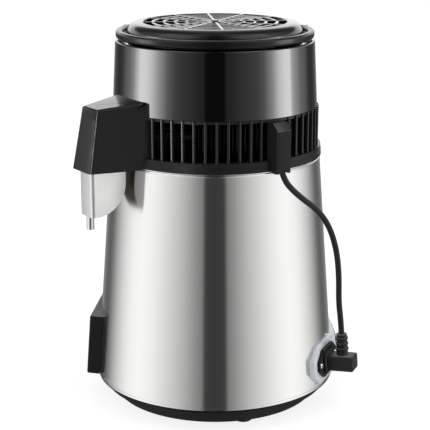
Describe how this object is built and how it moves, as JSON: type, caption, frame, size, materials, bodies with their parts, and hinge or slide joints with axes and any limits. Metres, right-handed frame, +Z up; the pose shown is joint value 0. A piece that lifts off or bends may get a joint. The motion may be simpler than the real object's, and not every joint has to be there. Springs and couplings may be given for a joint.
{
  "type": "countertop water distiller",
  "caption": "Countertop water distiller: tapered steel boiler body, lift-off black fan and condenser head with drip spout, carrying bail and plug-in fan lead.",
  "frame": {"origin": "axis of the round body on the plane that the feet stand on", "axes": "+Z up; the spout of the head points to -Y and the cord guard to +X"},
  "size_m": [0.2406, 0.2627, 0.3606],
  "materials": {
    "satin_steel": "finely brushed round the body",
    "polished_steel": "polished",
    "gloss_black": "high gloss",
    "satin_black": "satin moulded",
    "insert_black": "matt moulded",
    "button_black": "smooth moulded",
    "pale_bezel": "bluish white moulded",
    "lens_red": "clear tinted",
    "rubber_black": "satin",
    "silicone": "translucent matt",
    "aluminium": "mill",
    "zinc_steel": "zinc plated",
    "brass": "nickel plated",
    "carbon": "granules in a pouch"
  },
  "bodies": {
    "base": {"base_pan": "satin_black", "rubber_foot_1": "rubber_black", "rubber_foot_2": "rubber_black", "rubber_foot_3": "rubber_black", "rubber_foot_4": "rubber_black", "outer_shell": "satin_steel", "boiling_pot": "polished_steel", "heater_plate": "aluminium", "heating_element": "zinc_steel", "boil_dry_thermostat": "zinc_steel", "overheat_cutout": "zinc_steel", "standoff_1": "zinc_steel", "standoff_2": "zinc_steel", "standoff_3": "zinc_steel", "control_box": "satin_black", "button_switch": "insert_black", "indicator_lens": "lens_red", "mains_bezel": "pale_bezel", "mains_socket": "insert_black", "contact_blade_1": "brass", "contact_blade_2": "brass", "contact_blade_3": "brass", "fan_feed_bezel": "pale_bezel", "fan_feed_socket": "insert_black", "jumper_plug": "rubber_black", "jumper_cord": "rubber_black"},
    "start_button": {"start_button": "button_black"},
    "head": {"vent_ring": "satin_black", "head_housing": "gloss_black", "cord_guard": "satin_black", "fan_cover": "satin_black", "lid_plate": "polished_steel", "lid_gasket": "silicone", "condenser_tube": "polished_steel", "condenser_fins": "aluminium", "motor_bracket": "zinc_steel", "fan_motor": "zinc_steel", "pivot_pin_left": "zinc_steel", "pivot_pin_right": "zinc_steel"},
    "fan": {"fan_rotor": "insert_black", "motor_shaft": "zinc_steel"},
    "handle": {"carry_handle": "satin_black"},
    "spout_cup": {"spout_cup": "satin_steel", "carbon_filter": "carbon", "nozzle_tube": "polished_steel"}
  },
  "joints": [
    {"name": "start_press", "type": "slide", "parent": "base", "child": "start_button", "axis": [0.6275, 0.7749, -0.0756], "range_m": [0, 0.002], "stiffness_N_per_m": 400, "springref_m": -0.001},
    {"name": "head_lift", "type": "slide", "parent": "base", "child": "head", "axis": [0, 0, 1], "range_m": [0, 0.06]},
    {"name": "fan_spin", "type": "hinge", "parent": "head", "child": "fan", "pos_m": [0, 0, 0.306], "axis": [0, 0, 1], "continuous": true},
    {"name": "handle_swing", "type": "hinge", "parent": "head", "child": "handle", "pos_m": [-0.0247, 0.01729, 0.3488], "axis": [-0.5736, -0.8192, 0], "range_deg": [0, 95]},
    {"name": "cup_pull", "type": "slide", "parent": "head", "child": "spout_cup", "axis": [0, 0, -1], "range_m": [0, 0.03]}
  ]
}
